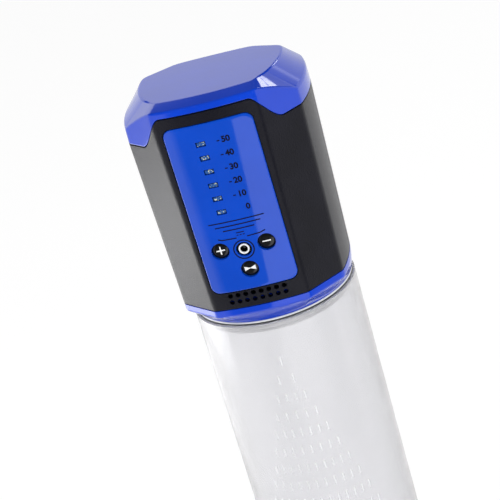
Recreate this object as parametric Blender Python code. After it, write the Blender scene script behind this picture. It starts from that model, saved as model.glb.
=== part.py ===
"""Electric vacuum pump: a bevelled pump head that lifts off a clear cylinder.

Metres, +Z up.  The cylinder's axis is the Z axis, the display faces -Y and the
origin is the middle of the foot that the end seal stands on.  Heights inside
the pump head are given above the rim, the cylinder's top edge.
"""
import math

import bmesh
import bpy
from mathutils import Vector

# ------------------------------------------------------------- driving sizes
GAP = 0.0003                      # clearance between two pieces that touch

# Clear cylinder and the soft seal on its open end.
TUBE_RADIUS = 0.0325
TUBE_BORE = 0.0300
TUBE_FOOT = 0.0020
RIM = 0.2120
SEAL_RADIUS = 0.0415
SEAL_MOUTH = 0.0240
SEAL_HEIGHT = 0.0150

# Heights of the pump head.
BODY_FOOT = RIM + 0.0112
CAP_EDGE_SIDE = RIM + 0.0784      # where the blue cap ends at the sides and back
CAP_EDGE_FRONT = RIM + 0.0897     # and over the display
SECTION_TOP = RIM + 0.0870        # height of the upper measured section
CREASE_SIDE = RIM + 0.0844        # lower edge of the wide bevel
CREASE_FRONT = RIM + 0.0920       # lower edge of the narrow front bevel
HEAD_TOP = RIM + 0.0926
WALL = 0.0022

# The cap's edge swoops down beside the display, between these half widths.
SWOOP_INNER = 0.0162
SWOOP_OUTER = 0.0264

# Plan of the head: eight corners, mirrored in x, with bowed front, sides and back.
# Each is given as front corner, side corner, rear side corner, rear corner and
# then how far the front, the sides and the back bow outwards.
FOOT_PLAN = ((0.01786, -0.0360), (0.0309, -0.0235), (0.0309, 0.0145),
             (0.0179, 0.0310), 0.0019, 0.00235, 0.0012)
UPPER_PLAN = ((0.0192, -0.0388), (0.0325, -0.0239), (0.0324, 0.0153),
              (0.0192, 0.0318), 0.0022, 0.00270, 0.0012)
TOP_PLAN = ((0.0184, -0.0288), (0.0226, -0.0228), (0.0270, 0.0060),
            (0.0150, 0.0140), 0.0024, 0.0020, 0.0006)

FRONT_STEPS = 12
CHAMFER_STEPS = 7
SIDE_STEPS = 6
REAR_CHAMFER_STEPS = 3
REAR_STEPS = 4

# Display panel and what it carries.
PANEL_HALF_WIDTH = 0.0164
PANEL_FOOT = RIM + 0.0183
PANEL_TOP = RIM + 0.0851
PANEL_CORNER = 0.0032
PANEL_THICKNESS = 0.0012
PANEL_PROUD = 0.00025
WINDOW_X = -0.00385
WINDOW_HEIGHTS = tuple(RIM + h for h in (0.0777, 0.0723, 0.0669, 0.0615, 0.0561, 0.0507))
WINDOW_SIZE = (0.0030, 0.0014)
BUTTON_RADIUS = 0.0031
BUTTON_RECESS = 0.0010            # from the panel down to a button's face
BUTTONS = {
    "plus": (-0.00865, RIM + 0.0354),
    "minus": (0.00865, RIM + 0.0354),
    "valve": (0.0, RIM + 0.0263),
}
JACK_HEIGHT = RIM + 0.0346
JACK_RADIUS = 0.0026
JACK_RECESS = 0.0016
VENT_COLUMNS = 8
VENT_PITCH = 0.00292
VENT_HEIGHTS = (RIM + 0.0140, RIM + 0.0166)
VENT_RADIUS = 0.00095

# Planes along y: where the cuts through the display start, and the works behind it.
CUT_FRONT = -0.0430
CUT_DEPTH = 0.0120
BUTTON_BACK = -0.0346
SWITCH_FRONT = -0.0336
BOARD_FRONT = -0.0292
BOARD_BACK = -0.0276
FRAME_FRONT = -0.0255
FRAME_BACK = -0.0235
BOARD_SCREWS = tuple((x, RIM + h) for h in (0.0250, 0.0790) for x in (-0.0130, 0.0130))
CASE_SCREWS = tuple((x, RIM + h) for h in (0.0180, 0.0710) for x in (-0.0125, 0.0125))
CASE_POST_END = 0.0285

# Works: positions as x, y and heights above the rim.
PUMP_X, PUMP_Y = 0.0, 0.0020
MOTOR_RADIUS = 0.0120
MOTOR_FOOT = RIM + 0.0212
MOTOR_TOP = RIM + 0.0462
SHAFT_RADIUS = 0.0010
PUMP_HALF = 0.0120
CELL_X, CELL_Y = 0.0222, -0.0030
CELL_RADIUS = 0.0071
PORT_X, PORT_Y = -0.0230, -0.0080
VALVE_X, VALVE_Y = -0.0225, 0.0065
VALVE_FOOT = RIM + 0.0440
VALVE_TOP = RIM + 0.0660

# Base: ring, seals and the plate with the spigot that enters the cylinder.
RING_OUTER = 0.0319
RING_FOOT_RADIUS = 0.0314
RING_BORE = 0.0290
RING_FOOT = RIM + 0.00155
FLANGE_RADIUS = 0.0313
FLANGE_FOOT = RIM + 0.00080       # pale flange between the ring and the rim seal
FLANGE_TOP = RIM + 0.00130
RIM_SEAL_SPAN = (RIM + 0.00025, RIM + 0.00055)
SPIGOT_RADIUS = 0.0287
SPIGOT_FOOT = RIM - 0.0045
O_RING_HEIGHT = RIM - 0.0022
O_RING_RADIUS = 0.02875
O_RING_WIRE = 0.00095


# ------------------------------------------------------------------ materials
def make_material(name, colour, roughness, metallic=0.0, transmission=0.0):
    """A Principled material in one colour."""
    material = bpy.data.materials.new(name)
    material.use_nodes = True
    shader = material.node_tree.nodes["Principled BSDF"]
    shader.inputs["Base Color"].default_value = (*colour, 1.0)
    shader.inputs["Roughness"].default_value = roughness
    shader.inputs["Metallic"].default_value = metallic
    shader.inputs["Transmission Weight"].default_value = transmission
    return material


# ------------------------------------------------------------- mesh utilities
def add_object(name, bm, material, location=(0.0, 0.0, 0.0), rotation=(0.0, 0.0, 0.0)):
    """Turn a finished bmesh into an object with outward faces."""
    bmesh.ops.remove_doubles(bm, verts=bm.verts, dist=1e-7)
    bmesh.ops.recalc_face_normals(bm, faces=bm.faces)
    mesh = bpy.data.meshes.new(name)
    bm.to_mesh(mesh)
    bm.free()
    mesh.shade_smooth()
    mesh.set_sharp_from_angle(angle=math.radians(28))
    if material is not None:
        mesh.materials.append(material)
    obj = bpy.data.objects.new(name, mesh)
    obj.location = location
    obj.rotation_euler = rotation
    bpy.context.collection.objects.link(obj)
    return obj


def hide_tool(obj):
    """Mark an object as a guide that only shapes others."""
    obj.hide_render = True
    obj.display_type = "WIRE"
    return obj


def combine(target, tool, operation):
    """Cut the tool from the target, or join it on."""
    modifier = target.modifiers.new(operation.title(), "BOOLEAN")
    modifier.operation = operation
    modifier.solver = "EXACT"
    modifier.object = hide_tool(tool)
    return target


def box(name, low, high, material=None):
    """A block between two corners."""
    bm = bmesh.new()
    bmesh.ops.create_cube(bm, size=1.0)
    size = Vector(high) - Vector(low)
    middle = (Vector(high) + Vector(low)) / 2
    bmesh.ops.scale(bm, vec=size, verts=bm.verts)
    return add_object(name, bm, material, location=middle)


def lathe(name, profile, material=None, segments=32, location=(0.0, 0.0, 0.0), along="Z",
          phase=0.0):
    """Turn a closed profile of (radius, height) about an axis through location."""
    bm = bmesh.new()
    rings = []
    for i in range(segments):
        angle = 2 * math.pi * (i + phase) / segments
        turn = (math.cos(angle), math.sin(angle))
        rings.append([bm.verts.new((r * turn[0], r * turn[1], z)) for r, z in profile])
    join_rings(bm, rings, close_profile=True, close_loop=True)
    rotation = {"Z": (0.0, 0.0, 0.0), "Y": (-math.pi / 2, 0.0, 0.0)}[along]
    return add_object(name, bm, material, location, rotation)


def rod(name, radius, length, location, along="Z", material=None, segments=16):
    """A plain cylinder that starts at location."""
    profile = ((0.0, 0.0), (radius, 0.0), (radius, length), (0.0, length))
    return lathe(name, profile, material, segments, location, along)


def drill(name, radius, length, location, along="Z", segments=20):
    """A guide for a round hole, turned so that its corners meet no others."""
    profile = ((0.0, 0.0), (radius, 0.0), (radius, length), (0.0, length))
    return lathe(name, profile, None, segments, location, along, phase=0.37)


def bored_post(name, radius, bore, length, depth, location):
    """A post along +Y with a blind bore in its far end."""
    profile = ((0.0, 0.0), (radius, 0.0), (radius, length), (bore, length),
               (bore, length - depth), (0.0, length - depth))
    return lathe(name, profile, None, 16, location, "Y")


def join_rings(bm, rings, close_profile, close_loop):
    """Skin neighbouring rings of vertices with faces."""
    ring_count = len(rings)
    point_count = len(rings[0])
    last_ring = ring_count if close_loop else ring_count - 1
    last_point = point_count if close_profile else point_count - 1
    for i in range(last_ring):
        here = rings[i]
        there = rings[(i + 1) % ring_count]
        for k in range(last_point):
            after = (k + 1) % point_count
            if (here[k].co - here[after].co).length < 1e-9:
                continue
            corners = [here[k], there[k], there[after], here[after]]
            if (here[k].co - there[k].co).length < 1e-9:
                corners.remove(there[k])
            if (here[after].co - there[after].co).length < 1e-9:
                corners.remove(there[after])
            if len(corners) > 2:
                bm.faces.new(corners)


def tube_along(name, route, radius, material, steps=4):
    """A round hose through the route's points, with filled ends."""
    points = [Vector(p) for p in route]
    ends = [2 * points[0] - points[1]] + points + [2 * points[-1] - points[-2]]
    smooth = []
    for i in range(1, len(ends) - 2):
        p0, p1, p2, p3 = ends[i - 1:i + 3]
        for k in range(steps):
            t = k / steps
            smooth.append(0.5 * (2 * p1 + (p2 - p0) * t
                                 + (2 * p0 - 5 * p1 + 4 * p2 - p3) * t * t
                                 + (3 * p1 - p0 - 3 * p2 + p3) * t * t * t))
    smooth.append(points[-1])
    return wire(name, smooth, radius, material, resolution=2)


def wire(name, points, radius, material, resolution):
    """A round wire along a list of points."""
    curve = bpy.data.curves.new(name, "CURVE")
    curve.dimensions = "3D"
    curve.bevel_depth = radius
    curve.bevel_resolution = resolution
    curve.use_fill_caps = True
    spline = curve.splines.new("POLY")
    spline.points.add(len(points) - 1)
    for target, point in zip(spline.points, points):
        target.co = (*point, 1.0)
    curve.materials.append(material)
    obj = bpy.data.objects.new(name, curve)
    bpy.context.collection.objects.link(obj)
    return obj


# --------------------------------------------------------------- head outline
def arc(start, end, bow, steps):
    """Points from start up to, but not including, end, bowed to the left."""
    start, end = Vector(start), Vector(end)
    chord = end - start
    out = Vector((-chord.y, chord.x)).normalized()
    if bow == 0.0:
        return [start + chord * (i / steps) for i in range(steps)]
    radius = (chord.length ** 2 / 4 + bow ** 2) / (2 * bow)
    centre = (start + end) / 2 - out * (radius - bow)
    half = math.asin(chord.length / 2 / radius)
    along = chord.normalized()
    points = []
    for i in range(steps):
        angle = half * (2 * i / steps - 1)
        points.append(centre + along * (radius * math.sin(angle))
                      + out * (radius * math.cos(angle)))
    return points


def mirror(point):
    return (-point[0], point[1])


def plan_outline(plan):
    """The whole plan, from the right rear side corner round by the front."""
    front, side, rear_side, rear, front_bow, side_bow, rear_bow = plan
    legs = (
        (rear_side, side, side_bow, SIDE_STEPS),
        (side, front, 0.0, CHAMFER_STEPS),
        (front, mirror(front), front_bow, FRONT_STEPS),
        (mirror(front), mirror(side), 0.0, CHAMFER_STEPS),
        (mirror(side), mirror(rear_side), side_bow, SIDE_STEPS),
        (mirror(rear_side), mirror(rear), 0.0, REAR_CHAMFER_STEPS),
        (mirror(rear), rear, rear_bow, REAR_STEPS),
        (rear, rear_side, 0.0, REAR_CHAMFER_STEPS),
    )
    points = []
    for start, end, bow, steps in legs:
        points += arc(start, end, bow, steps)
    return points


def inset_outline(points, distance):
    """Move a closed outline inwards by an even distance."""
    moved = []
    for i, point in enumerate(points):
        before = (point - points[i - 1]).normalized()
        after = (points[(i + 1) % len(points)] - point).normalized()
        out_before = Vector((-before.y, before.x))
        out_after = Vector((-after.y, after.x))
        out = (out_before + out_after).normalized()
        moved.append(point - out * (distance / out.dot(out_after)))
    return moved


FOOT_OUTLINE = plan_outline(FOOT_PLAN)
UPPER_OUTLINE = plan_outline(UPPER_PLAN)
TOP_OUTLINE = plan_outline(TOP_PLAN)
STATION_COUNT = len(FOOT_OUTLINE)
RIGHT_SPLIT = SIDE_STEPS // 2
LEFT_SPLIT = RIGHT_SPLIT + SIDE_STEPS + 2 * CHAMFER_STEPS + FRONT_STEPS


def body_ring(heights, inset=0.0):
    """Points on the tapered body, one for each station, at the given heights."""
    low = inset_outline(FOOT_OUTLINE, inset)
    high = inset_outline(UPPER_OUTLINE, inset)
    ring = []
    for i in range(STATION_COUNT):
        t = (heights[i] - BODY_FOOT) / (SECTION_TOP - BODY_FOOT)
        place = low[i] + (high[i] - low[i]) * t
        ring.append(Vector((place.x, place.y, heights[i])))
    return ring


def level(height):
    return [height] * STATION_COUNT


def shifted(heights, distance):
    return [h + distance for h in heights]


def front_surface(x, height):
    """The y of the body's bowed front at a half width and a height."""
    t = (height - BODY_FOOT) / (SECTION_TOP - BODY_FOOT)
    depths = []
    for plan in (FOOT_PLAN, UPPER_PLAN):
        half, depth, bow = plan[0][0], plan[0][1], plan[4]
        radius = (half ** 2 + bow ** 2) / (2 * bow)
        depths.append(depth - bow + radius - math.sqrt(radius ** 2 - x ** 2))
    return depths[0] + (depths[1] - depths[0]) * t


def smooth_step(value):
    value = min(max(value, 0.0), 1.0)
    return value * value * (3 - 2 * value)


def cap_edge_heights():
    """Height of the seam between cap and body at each station."""
    heights = []
    for point in UPPER_OUTLINE:
        swoop = smooth_step((abs(point.x) - SWOOP_INNER) / (SWOOP_OUTER - SWOOP_INNER))
        if point.y > 0:
            swoop = 1.0
        heights.append(CAP_EDGE_FRONT + (CAP_EDGE_SIDE - CAP_EDGE_FRONT) * swoop)
    return heights


def crease_heights():
    """Height of the bevel's lower edge: it falls along the front chamfers."""
    front_x, side_x = UPPER_PLAN[0][0], UPPER_PLAN[1][0]
    heights = []
    for point in UPPER_OUTLINE:
        fall = min(max((abs(point.x) - front_x) / (side_x - front_x), 0.0), 1.0) ** 1.25
        if point.y > UPPER_PLAN[1][1] + 0.0001:
            fall = 1.0
        heights.append(CREASE_FRONT + (CREASE_SIDE - CREASE_FRONT) * fall)
    return heights


def circle_ring(radius, height):
    """A circle with one point in line with each station of the body's foot."""
    return [Vector((p.x, p.y)).normalized().to_3d() * radius + Vector((0, 0, height))
            for p in FOOT_OUTLINE]


# ------------------------------------------------------------ clear cylinder
def build_cylinder(clear, soft):
    lathe("clear_tube", ((TUBE_BORE, TUBE_FOOT), (TUBE_RADIUS, TUBE_FOOT),
                         (TUBE_RADIUS, RIM), (TUBE_BORE, RIM)), clear, segments=64)
    collar = TUBE_RADIUS + GAP
    lip = TUBE_BORE - GAP
    floor = TUBE_FOOT - GAP
    lathe("end_seal", ((SEAL_MOUTH, 0.0), (SEAL_RADIUS, 0.0), (SEAL_RADIUS, 0.0035),
                       (collar + 0.0025, 0.0060), (collar + 0.0022, SEAL_HEIGHT),
                       (collar, SEAL_HEIGHT), (collar, floor), (lip, floor), (lip, 0.0090),
                       (lip - 0.0022, 0.0090), (SEAL_MOUTH, 0.0035)), soft, segments=40)


# ------------------------------------------------------------- casing pieces
def wall_section(name, first, last, material):
    """Part of the body's wall, between two stations of the outline."""
    edge = shifted(cap_edge_heights(), -GAP)
    rings = (body_ring(level(BODY_FOOT)), body_ring(edge),
             body_ring(edge, WALL), body_ring(level(BODY_FOOT), WALL))
    count = (last - first) % STATION_COUNT
    bm = bmesh.new()
    stations = []
    for i in range(count + 1):
        stations.append([bm.verts.new(ring[(first + i) % STATION_COUNT]) for ring in rings])
    join_rings(bm, stations, close_profile=True, close_loop=False)
    bm.faces.new(stations[0])
    bm.faces.new(stations[-1])
    return add_object(name, bm, material)


def bowed_plate(name, half_width, foot, top, corner, front_offset, back_offset, material=None):
    """A round-cornered plate that follows the bowed front of the body."""
    columns = []
    for i in range(7):
        columns.append(-half_width + corner * (1 - math.cos(math.radians(15 * i))))
    inner = half_width - corner
    columns += [-inner + 2 * inner * i / 10 for i in range(1, 10)]
    columns += [-x for x in reversed(columns[:7])]
    bm = bmesh.new()
    stations = []
    for x in columns:
        reach = max(abs(x) - inner, 0.0)
        rise = corner - math.sqrt(max(corner ** 2 - reach ** 2, 0.0))
        low, high = foot + rise, top - rise
        spots = ((low, front_offset), (high, front_offset), (high, back_offset), (low, back_offset))
        stations.append([bm.verts.new((x, front_surface(x, z) + offset, z)) for z, offset in spots])
    join_rings(bm, stations, close_profile=True, close_loop=False)
    bm.faces.new(stations[0])
    bm.faces.new(stations[-1])
    return add_object(name, bm, material)


def build_cap(blue):
    edge = cap_edge_heights()
    crease = crease_heights()
    edge_ring = body_ring(edge)
    inner_top = [Vector((p.x, p.y, HEAD_TOP - WALL)) for p in inset_outline(TOP_OUTLINE, 0.0012)]
    shoulder = [Vector((p.x, p.y, h)) for p, h in zip(inset_outline(UPPER_OUTLINE, 0.0004), crease)]
    lip = WALL + GAP
    rings = (
        [Vector((p.x, p.y, HEAD_TOP)) for p in TOP_OUTLINE],
        shoulder,
        edge_ring,
        body_ring(edge, lip),
        body_ring(shifted(edge, -0.0030), lip),
        body_ring(shifted(edge, -0.0030), lip + 0.0012),
        body_ring(shifted(crease, -0.0026), lip + 0.0012),
        inner_top,
    )
    bm = bmesh.new()
    verts = [[bm.verts.new(p) for p in ring] for ring in rings]
    for outer, inner in zip(verts[:-1], verts[1:]):
        join_rings(bm, [outer, inner], close_profile=True, close_loop=False)
    bm.faces.new(verts[0])
    bm.faces.new(verts[-1])
    return add_object("top_cap", bm, blue)


def build_ring(blue):
    lip = WALL + GAP
    foot = BODY_FOOT - GAP
    flat = level(foot)
    rings = (
        body_ring(flat),
        body_ring(level(foot - 0.0026)),
        circle_ring(RING_OUTER, RIM + 0.0022),
        circle_ring(RING_FOOT_RADIUS, RING_FOOT),
        circle_ring(RING_BORE, RING_FOOT),
        circle_ring(RING_BORE, foot - 0.0020),
        body_ring(shifted(flat, -0.0010), lip + 0.0012),
        body_ring(shifted(flat, 0.0030), lip + 0.0012),
        body_ring(shifted(flat, 0.0030), lip),
        body_ring(flat, lip),
    )
    bm = bmesh.new()
    verts = [[bm.verts.new(p) for p in ring] for ring in rings]
    join_rings(bm, verts, close_profile=True, close_loop=True)
    return add_object("base_ring", bm, blue)


def vent_tool():
    """One guide for all the vent holes."""
    bm = bmesh.new()
    for height in VENT_HEIGHTS:
        for column in range(VENT_COLUMNS):
            x = (column - (VENT_COLUMNS - 1) / 2) * VENT_PITCH
            rings = []
            for y in (CUT_FRONT, CUT_FRONT + CUT_DEPTH + 0.0010):
                spots = [2 * math.pi * k / 8 for k in range(8)]
                rings.append([bm.verts.new((x + VENT_RADIUS * math.cos(a), y,
                                            height + VENT_RADIUS * math.sin(a))) for a in spots])
            join_rings(bm, rings, close_profile=True, close_loop=False)
            bm.faces.new(rings[0])
            bm.faces.new(rings[1])
    return add_object("vent_guide", bm, None)


def build_front_shell(black):
    shell = wall_section("front_shell", RIGHT_SPLIT, LEFT_SPLIT, black)
    for i, (x, z) in enumerate(BOARD_SCREWS):
        start = front_surface(x, z) + 0.0016
        post = bored_post(f"board_post_{i}", 0.0026, 0.0012, BOARD_FRONT - GAP - start, 0.0053,
                          (x, start, z))
        combine(shell, post, "UNION")
    pocket = bowed_plate("panel_pocket", PANEL_HALF_WIDTH + GAP, PANEL_FOOT - GAP, PANEL_TOP + GAP,
                         PANEL_CORNER + GAP, -0.0020, PANEL_THICKNESS + GAP)
    combine(shell, pocket, "DIFFERENCE")
    combine(shell, vent_tool(), "DIFFERENCE")
    for name, (x, z) in BUTTONS.items():
        hole = drill(f"{name}_shell_hole", BUTTON_RADIUS + GAP, CUT_DEPTH, (x, CUT_FRONT, z), "Y")
        combine(shell, hole, "DIFFERENCE")
    hole = drill("jack_shell_hole", JACK_RADIUS + GAP, CUT_DEPTH, (0.0, CUT_FRONT, JACK_HEIGHT), "Y")
    combine(shell, hole, "DIFFERENCE")
    half = WINDOW_SIZE[0] / 2 + GAP
    slot = box("window_shell_slot",
               (WINDOW_X - half, CUT_FRONT, WINDOW_HEIGHTS[-1] - 0.0018),
               (WINDOW_X + half, CUT_FRONT + CUT_DEPTH, WINDOW_HEIGHTS[0] + 0.0018))
    return combine(shell, slot, "DIFFERENCE")


def build_rear_shell(black):
    shell = wall_section("rear_shell", LEFT_SPLIT, RIGHT_SPLIT, black)
    trim = box("shell_parting_gap", (-0.040, -0.0060, BODY_FOOT - 0.002),
               (0.040, -0.00425 + GAP, SECTION_TOP))
    combine(shell, trim, "DIFFERENCE")
    for i, (x, z) in enumerate(CASE_SCREWS):
        boss = rod(f"case_boss_{i}", 0.0038, 0.0020, (x, CASE_POST_END + GAP, z), "Y")
        combine(shell, boss, "UNION")
        pocket = drill(f"case_pocket_{i}", 0.0032, 0.0060, (x, 0.0300, z), "Y")
        combine(shell, pocket, "DIFFERENCE")
        hole = drill(f"case_hole_{i}", 0.0016, 0.0120, (x, 0.0240, z), "Y", segments=16)
        combine(shell, hole, "DIFFERENCE")
    return shell


# ------------------------------------------------------------ display pieces
def build_panel(blue):
    panel = bowed_plate("display_panel", PANEL_HALF_WIDTH, PANEL_FOOT, PANEL_TOP, PANEL_CORNER,
                        -PANEL_PROUD, PANEL_THICKNESS, blue)
    for name, (x, z) in BUTTONS.items():
        hole = drill(f"{name}_panel_hole", BUTTON_RADIUS + GAP, CUT_DEPTH, (x, CUT_FRONT, z), "Y")
        combine(panel, hole, "DIFFERENCE")
    hole = drill("jack_panel_hole", JACK_RADIUS + GAP, CUT_DEPTH, (0.0, CUT_FRONT, JACK_HEIGHT), "Y")
    combine(panel, hole, "DIFFERENCE")
    half_x, half_z = WINDOW_SIZE[0] / 2 + GAP, WINDOW_SIZE[1] / 2 + GAP
    for i, z in enumerate(WINDOW_HEIGHTS):
        slot = box(f"window_panel_slot_{i}", (WINDOW_X - half_x, CUT_FRONT, z - half_z),
                   (WINDOW_X + half_x, CUT_FRONT + CUT_DEPTH, z + half_z))
        combine(panel, slot, "DIFFERENCE")
    return panel


def build_windows(pale):
    """Six light pipes that carry the board's lamps to the panel."""
    for i, z in enumerate(WINDOW_HEIGHTS):
        front = front_surface(WINDOW_X, z) - PANEL_PROUD
        box(f"scale_window_{i + 1}",
            (WINDOW_X - WINDOW_SIZE[0] / 2, front, z - WINDOW_SIZE[1] / 2),
            (WINDOW_X + WINDOW_SIZE[0] / 2, BOARD_FRONT - 0.0015, z + WINDOW_SIZE[1] / 2), pale)


def build_buttons(black, dark):
    """Round push buttons with a retaining flange, and the switches behind them."""
    for name, (x, z) in BUTTONS.items():
        face = front_surface(abs(x), z) - PANEL_PROUD + BUTTON_RECESS
        depth = BUTTON_BACK - face
        rim = BUTTON_RADIUS
        lathe(f"{name}_button", ((0.0, 0.0), (rim - 0.0005, 0.0), (rim, 0.0005),
                                 (rim, depth - 0.0008), (rim + 0.0007, depth - 0.0008),
                                 (rim + 0.0007, depth), (0.0, depth)),
              black, segments=28, location=(x, face, z), along="Y")
        body = box(f"{name}_switch", (x - 0.0030, SWITCH_FRONT + 0.0006, z - 0.0030),
                   (x + 0.0030, BOARD_FRONT - GAP, z + 0.0030), dark)
        stem = rod(f"{name}_stem", 0.0016, 0.0020, (x, SWITCH_FRONT, z), "Y", segments=16)
        combine(body, stem, "UNION")


def build_jack(dark, metal):
    """Round power socket: barrel, contact sleeve and centre pin."""
    face = front_surface(0.0, JACK_HEIGHT) - PANEL_PROUD
    depth = BOARD_FRONT - GAP - face
    floor = depth - 0.0016
    bore, sleeve, mouth = 0.0022, 0.0019, 0.0014
    lathe("dc_jack", ((bore, JACK_RECESS), (JACK_RADIUS, JACK_RECESS), (JACK_RADIUS, depth),
                      (0.0, depth), (0.0, floor), (bore, floor)),
          dark, segments=28, location=(0.0, face, JACK_HEIGHT), along="Y")
    lathe("jack_sleeve", ((mouth, 0.0002), (sleeve, 0.0002), (sleeve, floor - GAP),
                          (mouth, floor - GAP)),
          metal, segments=28, location=(0.0, face, JACK_HEIGHT), along="Y")
    rod("jack_pin", 0.0005, floor - GAP - 0.0020, (0.0, face + 0.0020, JACK_HEIGHT), "Y", metal, 12)


def build_board(green):
    board = box("main_board", (-0.0158, BOARD_FRONT, RIM + 0.0170),
                (0.0158, BOARD_BACK, RIM + 0.0835), green)
    for i, (x, z) in enumerate(BOARD_SCREWS):
        hole = drill(f"board_hole_{i}", 0.0012, 0.0040, (x, BOARD_FRONT - 0.001, z), "Y", segments=12)
        combine(board, hole, "DIFFERENCE")
    return board


def build_frame(dark):
    """Plate behind the board, with spacers forward and case posts to the rear."""
    frame = box("inner_frame", (-0.0240, FRAME_FRONT, RIM + 0.0145),
                (0.0240, FRAME_BACK, RIM + 0.0825), dark)
    for i, (x, z) in enumerate(BOARD_SCREWS):
        length = FRAME_FRONT + 0.0005 - BOARD_BACK - GAP
        spacer = rod(f"frame_spacer_{i}", 0.0026, length, (x, BOARD_BACK + GAP, z), "Y")
        combine(frame, spacer, "UNION")
    for i, (x, z) in enumerate(CASE_SCREWS):
        length = CASE_POST_END - FRAME_BACK + 0.0005
        post = rod(f"case_post_{i}", 0.0028, length, (x, FRAME_BACK - 0.0005, z), "Y")
        combine(frame, post, "UNION")
    for i, (x, z) in enumerate(CASE_SCREWS):
        bore = drill(f"case_bore_{i}", 0.0016, 0.0150, (x, 0.0145, z), "Y", segments=16)
        combine(frame, bore, "DIFFERENCE")
    for i, (x, z) in enumerate(BOARD_SCREWS):
        bore = drill(f"frame_bore_{i}", 0.0012, 0.0060, (x, BOARD_BACK - 0.0010, z), "Y", segments=12)
        combine(frame, bore, "DIFFERENCE")
    window = box("frame_window", (-0.0090, -0.0300, RIM + 0.0300), (0.0090, -0.0200, RIM + 0.0700))
    combine(frame, window, "DIFFERENCE")
    return frame


def build_screws(metal):
    """Case screws enter from the back, board screws through the frame."""
    for i, (x, z) in enumerate(CASE_SCREWS):
        screw_profile = ((0.0, 0.0), (0.0013, 0.0), (0.0013, 0.0143), (0.0029, 0.0143),
                         (0.0029, 0.0152), (0.0022, 0.0158), (0.0, 0.0158))
        screw = lathe(f"case_screw_{i + 1}", screw_profile, metal, 20, (x, 0.0160, z), "Y")
        slot = cross_tool(f"case_screw_cross_{i}", (x, 0.0160 + 0.0158, z))
        combine(screw, slot, "DIFFERENCE")
    for i, (x, z) in enumerate(BOARD_SCREWS):
        screw_profile = ((0.0, 0.0), (0.0009, 0.0), (0.0009, 0.0107), (0.0020, 0.0107),
                         (0.0020, 0.0118), (0.0, 0.0118))
        lathe(f"board_screw_{i + 1}", screw_profile, metal, 12, (x, -0.0339, z), "Y")


def cross_tool(name, place):
    """A cross recess, centred on place."""
    bm = bmesh.new()
    arm, half = 0.0016, 0.0003
    outline = ((arm, half), (half, half), (half, arm), (-half, arm), (-half, half), (-arm, half),
               (-arm, -half), (-half, -half), (-half, -arm), (half, -arm), (half, -half), (arm, -half))
    rings = [[bm.verts.new((x, y, z)) for x, z in outline] for y in (-0.0007, 0.0010)]
    join_rings(bm, rings, close_profile=True, close_loop=False)
    bm.faces.new(rings[0])
    bm.faces.new(rings[1])
    return add_object(name, bm, None, location=place)


# ------------------------------------------------------------------ the works
def saddle(name, low, high, centre, radius, material):
    """A block with a round bed for a can or a cell that stands upright."""
    block = box(name, low, high, material)
    bed = drill(f"{name}_bed", radius, 0.0900, (*centre, RIM + 0.0100), "Z", segments=40)
    return combine(block, bed, "DIFFERENCE")


def build_power(orange, dark):
    cell_foot, cell_length = RIM + 0.0207, 0.0480
    lathe("battery_cell", ((0.0, 0.0), (CELL_RADIUS - 0.0004, 0.0), (CELL_RADIUS, 0.0004),
                           (CELL_RADIUS, cell_length - 0.0004),
                           (CELL_RADIUS - 0.0004, cell_length), (0.0028, cell_length),
                           (0.0028, cell_length + 0.0015), (0.0, cell_length + 0.0015)),
          orange, segments=32, location=(CELL_X, CELL_Y, cell_foot))
    saddle("battery_cradle", (CELL_X - 0.0078, FRAME_BACK + GAP, RIM + 0.0300),
           (CELL_X + 0.0060, CELL_Y - 0.0010, RIM + 0.0600), (CELL_X, CELL_Y),
           CELL_RADIUS + GAP, dark)


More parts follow.
